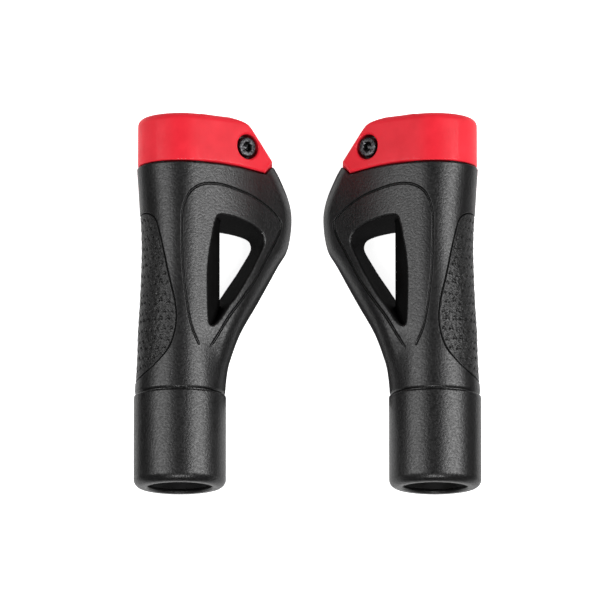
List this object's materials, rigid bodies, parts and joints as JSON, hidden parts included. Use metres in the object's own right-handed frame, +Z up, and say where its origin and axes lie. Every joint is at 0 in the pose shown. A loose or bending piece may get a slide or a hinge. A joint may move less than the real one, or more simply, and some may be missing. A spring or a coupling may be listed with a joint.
{
  "type": "bar end grips",
  "caption": "Mirrored pair of lock-on rubber handlebar grips with a hollow palm wing and a single-screw end clamp.",
  "frame": {"origin": "on the surface that the pair lies on, under the middle of the pair", "axes": "+X from the left grip to the right grip, +Y along both grips from the open end to the clamped end, +Z up"},
  "size_m": [0.1204, 0.13, 0.032],
  "materials": {
    "rubber": "fine moulded grain, satin",
    "nylon": "matte moulded",
    "red_paint": "gloss",
    "black_steel": "black oxide, satin",
    "black_plastic": "satin moulded"
  },
  "bodies": {
    "left_grip": {"left_rubber_grip": "rubber", "left_core": "nylon"},
    "left_clamp": {"left_clamp": "red_paint"},
    "left_screw": {"left_clamp_screw": "black_steel"},
    "left_plug": {"left_end_plug": "black_plastic"},
    "right_grip": {"right_rubber_grip": "rubber", "right_core": "nylon"},
    "right_clamp": {"right_clamp": "red_paint"},
    "right_screw": {"right_clamp_screw": "black_steel"},
    "right_plug": {"right_end_plug": "black_plastic"}
  },
  "joints": [
    {"name": "grips_apart", "type": "slide", "parent": "left_grip", "child": "right_grip", "axis": [1, 0, 0], "range_m": [0, 0.1]},
    {"name": "left_clamp_pull_off", "type": "slide", "parent": "left_grip", "child": "left_clamp", "axis": [0, 1, 0], "range_m": [0, 0.014]},
    {"name": "left_screw_turn", "type": "hinge", "parent": "left_clamp", "child": "left_screw", "pos_m": [-0.02928, 0.055, 0.00594], "axis": [0.5592, 0, 0.829], "continuous": true},
    {"name": "left_plug_pull_out", "type": "slide", "parent": "left_clamp", "child": "left_plug", "axis": [0, 1, 0], "range_m": [0, 0.01]},
    {"name": "right_clamp_pull_off", "type": "slide", "parent": "right_grip", "child": "right_clamp", "axis": [0, 1, 0], "range_m": [0, 0.014]},
    {"name": "right_screw_turn", "type": "hinge", "parent": "right_clamp", "child": "right_screw", "pos_m": [0.02928, 0.055, 0.00594], "axis": [-0.5592, 0, 0.829], "continuous": true},
    {"name": "right_plug_pull_out", "type": "slide", "parent": "right_clamp", "child": "right_plug", "axis": [0, 1, 0], "range_m": [0, 0.01]}
  ]
}
